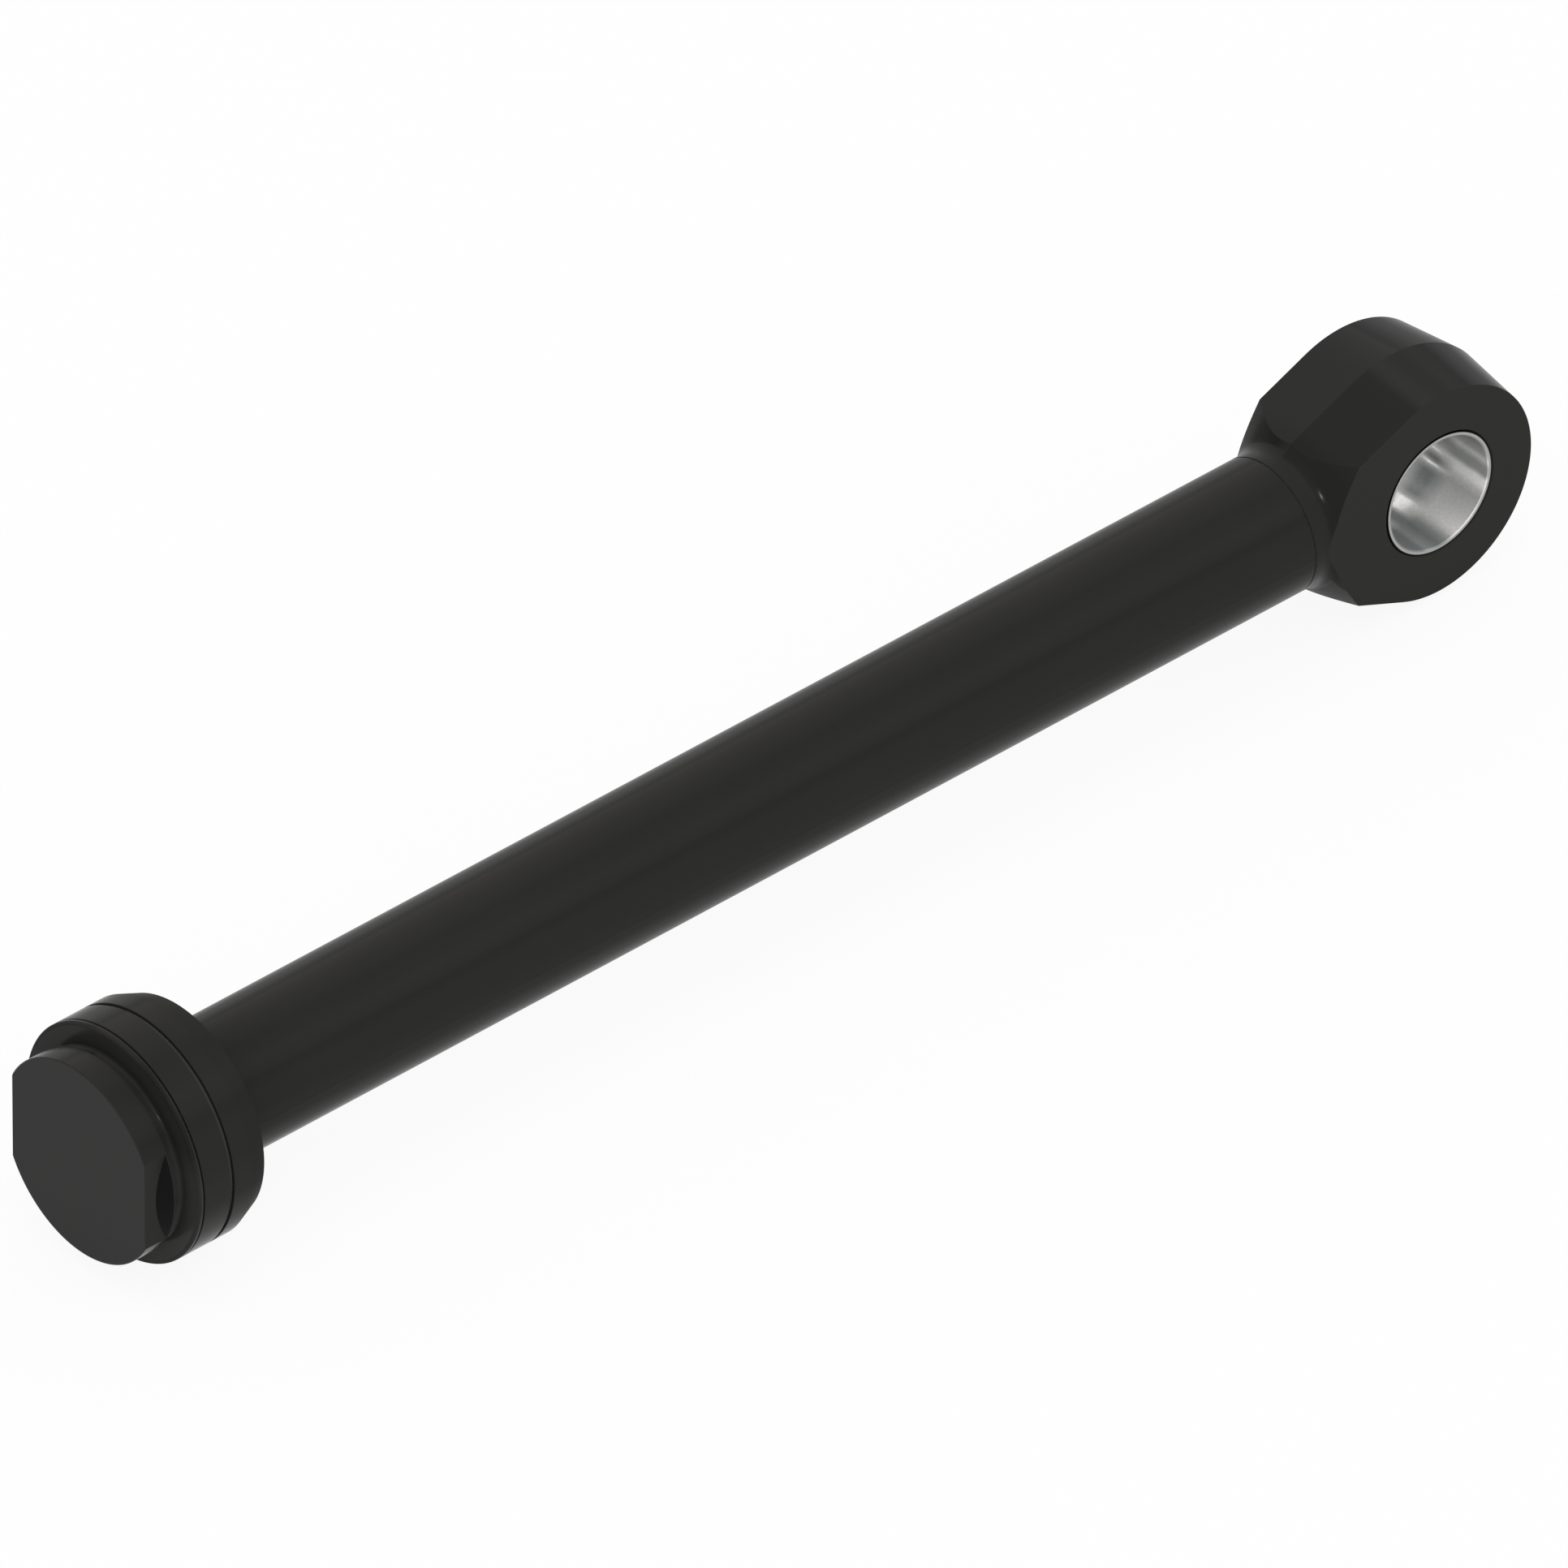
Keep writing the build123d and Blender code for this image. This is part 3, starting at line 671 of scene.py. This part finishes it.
def piece(name, made, material, body):
    """Makes a mesh an object that rides on a body, and smooths it."""
    for face in made.faces:
        face.smooth = True
    data = bpy.data.meshes.new(name)
    made.to_mesh(data)
    made.free()
    data.materials.append(material)
    thing = bpy.data.objects.new(name, data)
    scene.collection.objects.link(thing)
    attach(thing, body)


flange_bead = bead(TUBE_R + BEAD_RISE, BEAD_R)
flange_rear_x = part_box("barrel_flange")[0].x
to_rear = Matrix.Translation((flange_rear_x - BEAD_RISE, 0, 0))
flange_bead.transform(to_rear @ Matrix.Rotation(math.pi / 2, 4, "Y"))
piece("flange_weld", flange_bead, black_enamel, "barrel")

for name in ("base_port", "rod_port"):
    low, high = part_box(name + "_boss")
    port_bead = bead(PORT_BOSS_R + BEAD_RISE / 2, PORT_BEAD_R)
    for vert in port_bead.verts:
        vert.co.z += math.sqrt(TUBE_R**2 - vert.co.y**2)
    to_port = Matrix.Translation(((low.x + high.x) / 2, 0, 0))
    port_bead.transform(to_port @ Matrix.Rotation(PORT_ANGLE - math.pi / 2, 4, "X"))
    piece(name + "_weld", port_bead, black_enamel, "barrel")


# Piston rod. Induction-hardened bar, hard chromed, then ground and polished: nearly a mirror, with
# hair-fine grinding rings round it.

CHROME_BRIGHT = (0.6, 0.6, 0.61, 1)
CHROME_SOFT = (0.5, 0.5, 0.51, 1)
CHROME_HAZE_SCALE = 25.0
CHROME_ROUGHNESS = (0.08, 0.14)
GRINDING_PITCH = 0.00015
GRINDING_DEPTH = 0.0000005
RING_STRENGTH = 0.4


def rings(place, pitch):
    """A pattern of rings about the X axis, left by a tool. Pitch is how far apart they lie."""
    x, y, z = axes(place)
    cut = place.node("CombineXYZ", inputs={0: x * (1 / pitch), 1: distance(y, z) * (1 / pitch)})
    return noise(cut, scale=1.0, detail=2.0)


chrome, shader, place = finish("ground_hard_chrome", Metallic=1.0)
grinding = rings(place, GRINDING_PITCH)
haze = noise(place, CHROME_HAZE_SCALE, detail=2.0)
feed(
    shader,
    Base_Color=blend(grinding, CHROME_SOFT, CHROME_BRIGHT),
    Roughness=between(haze, *CHROME_ROUGHNESS),
    Normal=relief(grinding, RING_STRENGTH, GRINDING_DEPTH),
)
coat(chrome, "piston_rod")


# Piston and stop tube. Turned from steel bar, and left bare and oiled with the rings of the lathe
# tool on them. The nut clamps both against the rod's shoulder.

TURNED_DARK = (0.36, 0.36, 0.37, 1)
TURNED_STEEL = (0.52, 0.52, 0.53, 1)
TURNING_PITCH = 0.0003
TURNING_DEPTH = 0.000003
OIL_SCALE = 70.0
OILED_ROUGHNESS = (0.26, 0.4)
turned_steel, shader, place = finish("turned_steel", Metallic=1.0)
turning = rings(place, TURNING_PITCH)
stain = noise(place, OIL_SCALE, detail=3.0)
feed(
    shader,
    Base_Color=blend(turning, TURNED_DARK, TURNED_STEEL),
    Roughness=between(stain, *OILED_ROUGHNESS),
    Normal=relief(turning, RING_STRENGTH, TURNING_DEPTH),
)
coat(turned_steel, "piston", "stop_tube")


# Rubber rings. Moulded nitrile, matt black with a faint bloom: the static seals of the gland and
# the piston, and the ring that presses the piston's slipper seal outwards from its groove.

NITRILE = (0.018, 0.018, 0.018, 1)
NITRILE_BLOOM = (0.032, 0.032, 0.034, 1)
NITRILE_GLOSS = 0.3
NITRILE_ROUGHNESS = (0.55, 0.75)
BLOOM_SCALE = 220.0
BLOOM_DEPTH = 0.00001
nitrile, shader, place = finish("moulded_nitrile", Specular_IOR_Level=NITRILE_GLOSS)
bloom = noise(place, BLOOM_SCALE, detail=4.0)
feed(
    shader,
    Base_Color=blend(bloom, NITRILE, NITRILE_BLOOM),
    Roughness=between(bloom, *NITRILE_ROUGHNESS),
    Normal=relief(bloom, strength=0.3, depth=BLOOM_DEPTH),
)
coat(nitrile, "gland_o_ring", "piston_static_o_ring", "piston_energizer")


# Slipper rings. Bronze-filled sliding plastic for the piston seal, the buffer and the backup ring,
# speckled by its bronze powder.

SLIPPER = (0.17, 0.13, 0.075, 1)
SLIPPER_BRONZE = (0.3, 0.235, 0.14, 1)
SLIPPER_GLOSS = 0.35
SLIPPER_ROUGHNESS = (0.4, 0.6)
POWDER_SCALE = 3200.0
POWDER_ABOVE = 0.55
POWDER_SOFT = 0.05
slipper, shader, place = finish("bronze_filled_slipper", Specular_IOR_Level=SLIPPER_GLOSS)
speck = noise(place, POWDER_SCALE, detail=2.0)
powdered = blend(above(speck, POWDER_ABOVE, POWDER_SOFT), SLIPPER, SLIPPER_BRONZE)
feed(shader, Base_Color=powdered, Roughness=between(speck, *SLIPPER_ROUGHNESS))
coat(slipper, "piston_seal", "buffer_seal", "gland_backup_ring")


# Guide strips. Cut from cloth-reinforced resin, rust red with the fine square weave of the cloth,
# and sprung into their grooves in the piston and the gland.

RESIN = (0.24, 0.085, 0.035, 1)
RESIN_THREAD = (0.36, 0.15, 0.07, 1)
RESIN_GLOSS = 0.35
RESIN_ROUGHNESS = (0.5, 0.65)
WEAVE_PITCH = 0.0006
WEAVE_DEPTH = 0.00002
resin, shader, place = finish("woven_guide_resin", Specular_IOR_Level=RESIN_GLOSS)
x, y, z = axes(place)
arc = z.math("ARCTAN2", y) * distance(y, z)
warp = (x * (math.pi / WEAVE_PITCH)).math("SINE")
weft = (arc * (math.pi / WEAVE_PITCH)).math("SINE")
weave = (warp * weft) * 0.5 + 0.5
feed(
    shader,
    Base_Color=blend(weave, RESIN, RESIN_THREAD),
    Roughness=between(weave, *RESIN_ROUGHNESS),
    Normal=relief(weave, strength=0.4, depth=WEAVE_DEPTH),
)
coat(resin, "piston_guide_rear", "piston_guide_front", "rod_guide_rear", "rod_guide_front")


# Gland. Turned from steel bar: its flange is painted with the barrel and has a painted highlight
# on the bevel beside the joint, and the sleeve inside the tube keeps the fine rings of the lathe
# tool.

GLAND_ROUGHNESS = 0.32
GLAND_PAINT_EDGE = 0.064
BEVEL_START_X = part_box("barrel_flange")[1].x + 0.0006
BEVEL_END_X = BEVEL_START_X + 0.0021
BEVEL_R = 0.06597
BEVEL_R_SOFT = 0.00003
# How much lighter the painted highlight makes the bevel.
BEVEL_PAINTED_HIGHLIGHT = 0.7
gland_finish, shader, place = finish("enamel_and_turned_gland", Specular_IOR_Level=PAINT_GLOSS)
tone, gloss, skin = enamel(place)
x, y, z = axes(place)
radius = distance(y, z)
band = above(radius, GLAND_PAINT_EDGE)
beside_joint = above(x, BEVEL_START_X) * (1 - above(x, BEVEL_END_X))
bevel = beside_joint * (1 - above(radius, BEVEL_R, BEVEL_R_SOFT))
sleeve = blend(rings(place, TURNING_PITCH), TURNED_DARK, TURNED_STEEL)
feed(
    shader,
    Base_Color=blend(band, sleeve, scaled(with_reflection_bands(tone, place), bevel * BEVEL_PAINTED_HIGHLIGHT + 1)),
    Roughness=between(band, GLAND_ROUGHNESS, gloss),
    Metallic=1 - band,
    Normal=skin,
)
coat(gland_finish, "gland")


# Rod seal and wiper. Cast polyurethane, dark green and slightly glossy where it is wiped by oil.
# The seal snaps into its groove in the gland, and the wiper is pressed into the cap.

URETHANE = (0.042, 0.14, 0.1, 1)
URETHANE_PALE = (0.06, 0.18, 0.135, 1)
URETHANE_GLOSS = 0.45
URETHANE_ROUGHNESS = (0.32, 0.47)
CURE_SCALE = 90.0
CURE_DEPTH = 0.00001
urethane, shader, place = finish("cast_polyurethane", Specular_IOR_Level=URETHANE_GLOSS)
cure = noise(place, CURE_SCALE, detail=2.0)
feed(
    shader,
    Base_Color=blend(cure, URETHANE, URETHANE_PALE),
    Roughness=between(cure, *URETHANE_ROUGHNESS),
    Normal=relief(cure, strength=0.2, depth=CURE_DEPTH),
)
coat(urethane, "rod_seal", "rod_wiper")


# Flange screws. Eight socket-head screws of alloy steel, blackened in hot salts and lightly oiled,
# sunk in the rear of the barrel flange.

OXIDE_BLACK = (0.035, 0.035, 0.038, 1)
OXIDE_BROWN = (0.075, 0.07, 0.064, 1)
OXIDE_SCALE = 380.0
OXIDE_ROUGHNESS = (0.32, 0.52)
oxide, shader, place = finish("oiled_black_oxide", Metallic=1.0)
patches = noise(place, OXIDE_SCALE, detail=4.0)
oxidised = blend(patches, OXIDE_BLACK, OXIDE_BROWN)
feed(shader, Base_Color=oxidised, Roughness=between(patches, *OXIDE_ROUGHNESS))
coat(oxide, "flange_screws")


# Gland cap. A turned steel ring screwed into the front of the gland. Its enamel has painted
# light low on the front face and on the nose, and painted shade on the +Y side of its rounded rim,
# which is duller all round.

CAP_FRONT_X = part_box("gland_cap")[0].x + 0.0036
CAP_LIGHTER_BELOW = 0.02
CAP_FRONT_PAINTED_LIGHT = 0.5
CAP_NOSE_R = 0.0535
CAP_NOSE_PAINTED_LIGHT = 0.45
CAP_RIM_R = 0.064
CAP_RIM_FACING = 0.2
CAP_RIM_FROM_Y = 0.022
CAP_RIM_PAINTED_SHADE = 0.35
CAP_RIM_DULLER = 0.4
cap_enamel, shader, place = finish("gland_cap_enamel", Specular_IOR_Level=PAINT_GLOSS)
tone, gloss, skin = enamel(place)
x, y, z = axes(place)
facing_x = facing(place)[0]
radius = distance(y, z)
low_down = 1 - above(z, CAP_LIGHTER_BELOW, soft=0.008)
lower_front = low_down * above(x, CAP_FRONT_X, soft=0.0003)
round_face = 1 - above(facing_x, FLAT_FACING, FLAT_FACING_SOFT)
nose = (1 - above(radius, CAP_NOSE_R, soft=0.0005)) * round_face
rim = above(radius, CAP_RIM_R, soft=0.0003) * above(facing_x, CAP_RIM_FACING, soft=0.1)
shaded_rim = rim * above(y, CAP_RIM_FROM_Y, soft=0.006)
# Painted light on the lower front and the nose, and painted shade on the rim.
painted_light_and_shade = lower_front * CAP_FRONT_PAINTED_LIGHT + nose * CAP_NOSE_PAINTED_LIGHT - shaded_rim * CAP_RIM_PAINTED_SHADE
cap_tone = scaled(with_reflection_bands(tone, place), painted_light_and_shade + 1)
feed(shader, Base_Color=cap_tone, Roughness=gloss + rim * CAP_RIM_DULLER, Normal=skin)
coat(cap_enamel, "gland_cap")


# Rod head. A turned steel disc screwed on the rod, with two milled flats for a wrench. It is
# enamelled like the barrel, with painted light on its face and black painted shade in the
# run-outs behind the flats.

RUNOUT_PAINTED_SHADE = (0.006, 0.006, 0.006, 1)
RUNOUT_START_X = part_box("rod_head")[0].x + 0.0004
FLAT_HALF = 0.05
HEAD_R = 0.0565
HEAD_EDGE = 0.00005
HEAD_EDGE_SOFT = 0.00003
HEAD_FACE_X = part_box("rod_head")[1].x - 0.0003
HEAD_FACE_PAINTED_LIGHT = (0.0285, 0.0285, 0.028, 1)
head_finish, shader, place = finish("rod_head_enamel", Specular_IOR_Level=PAINT_GLOSS)
tone, gloss, skin = enamel(place)
x, y, z = axes(place)
radius = distance(y, z)
past_flat = above(y.math("ABSOLUTE"), FLAT_HALF + HEAD_EDGE, HEAD_EDGE_SOFT)
under_rim = 1 - above(radius, HEAD_R - HEAD_EDGE, HEAD_EDGE_SOFT)
# Painted shade in the run-outs behind the flats.
runout = past_flat * under_rim * above(x, RUNOUT_START_X)
on_rim = above(radius, HEAD_R - 2 * HEAD_EDGE, HEAD_EDGE_SOFT)
# Painted light on the face.
enamel_with_painted_light = blend(above(x, HEAD_FACE_X), blend(on_rim, tone, with_reflection_bands(tone, place)), HEAD_FACE_PAINTED_LIGHT)
feed(shader, Base_Color=blend(runout, enamel_with_painted_light, RUNOUT_PAINTED_SHADE), Roughness=gloss, Normal=skin)
coat(head_finish, "rod_head")
